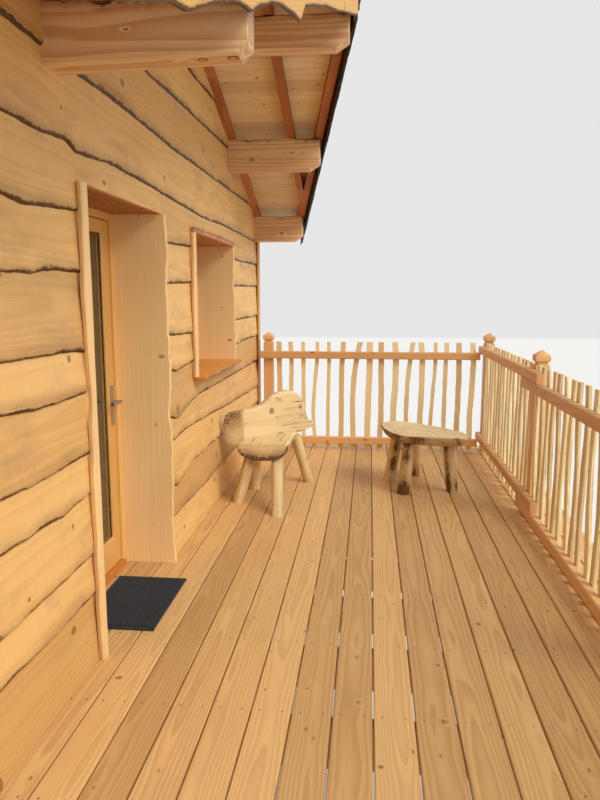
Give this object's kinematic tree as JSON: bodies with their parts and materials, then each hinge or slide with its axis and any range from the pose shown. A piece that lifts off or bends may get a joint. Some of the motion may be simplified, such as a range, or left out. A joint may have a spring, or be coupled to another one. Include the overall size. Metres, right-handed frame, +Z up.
{
  "type": "tree house",
  "caption": "Timber tree house on round stilts: a gabled cabin with live-edge boards, a glazed entrance door and a covered deck with a wavy picket railing, bench and table.",
  "frame": {"origin": "centre of the foot of the stilt under the middle of the front gable wall, at ground level", "axes": "+Z up, +X out of the front gable over the deck, +Y along the front gable to the far railing"},
  "size_m": [9.0075, 7.5218, 5.701],
  "materials": {
    "round_timber": "peeled round timber, weathered",
    "sawn_timber": "rough sawn softwood",
    "deck_timber": "planed deck boards, oiled",
    "cladding_timber": "waney-edged softwood boards",
    "purlin_timber": "planed softwood with bark on the top edge",
    "rafter_timber": "stained softwood",
    "soffit_timber": "tongued and grooved spruce",
    "bark_timber": "rough boards with bark",
    "joinery_timber": "clear-finished joinery",
    "railing_timber": "planed larch, oiled",
    "picket_timber": "split and peeled pickets",
    "log_timber": "peeled logs with checks",
    "roof_felt": "mineral-faced roofing",
    "roof_metal": "folded dark sheet",
    "glazing": "clear double glazing",
    "door_metal": "satin steel",
    "mat_textile": "ribbed textile on rubber"
  },
  "bodies": {
    "root": {"stilts": "round_timber", "bearers": "sawn_timber", "deck_joists": "sawn_timber", "deck_floor": "deck_timber", "rim_boards": "sawn_timber", "cabin_floor": "sawn_timber", "front_wall_piers": "cladding_timber", "front_wall_panels": "cladding_timber", "back_wall_piers": "cladding_timber", "back_wall_panels": "cladding_timber", "far_wall_piers": "cladding_timber", "far_wall_panels": "cladding_timber", "near_wall_piers": "cladding_timber", "near_wall_panels": "cladding_timber", "ridge_purlin": "purlin_timber", "far_purlin": "purlin_timber", "near_purlin": "purlin_timber", "far_eave_purlin": "purlin_timber", "near_eave_purlin": "purlin_timber", "rafters": "rafter_timber", "verge_rafters": "rafter_timber", "far_roof_boards": "soffit_timber", "near_roof_boards": "soffit_timber", "far_covering": "roof_felt", "near_covering": "roof_felt", "ridge_cap": "roof_metal", "barge_boards": "bark_timber", "door_lining": "cladding_timber", "door_frame": "joinery_timber", "door_sill": "joinery_timber", "frame_hinges": "door_metal", "window_linings": "cladding_timber", "window_sills": "cladding_timber", "window_frames": "joinery_timber", "window_glass": "glazing", "railing_posts": "railing_timber", "far_railing": "picket_timber", "outer_railing_far": "picket_timber", "outer_railing_middle": "picket_timber", "outer_railing_near": "picket_timber", "gate_railing": "picket_timber", "side_railing": "picket_timber", "bench_seat": "log_timber", "bench_back": "log_timber", "bench_legs": "log_timber", "table_top": "log_timber", "table_legs": "log_timber", "door_mat": "mat_textile"},
    "door": {"door_leaf": "joinery_timber", "door_glass": "glazing", "door_handles": "door_metal", "door_hinges": "door_metal"}
  },
  "joints": [
    {"name": "door_hinge", "type": "hinge", "parent": "root", "child": "door", "pos_m": [-0.31, -1.6225, 0], "axis": [0, 0, 1], "range_deg": [0, 100]}
  ]
}
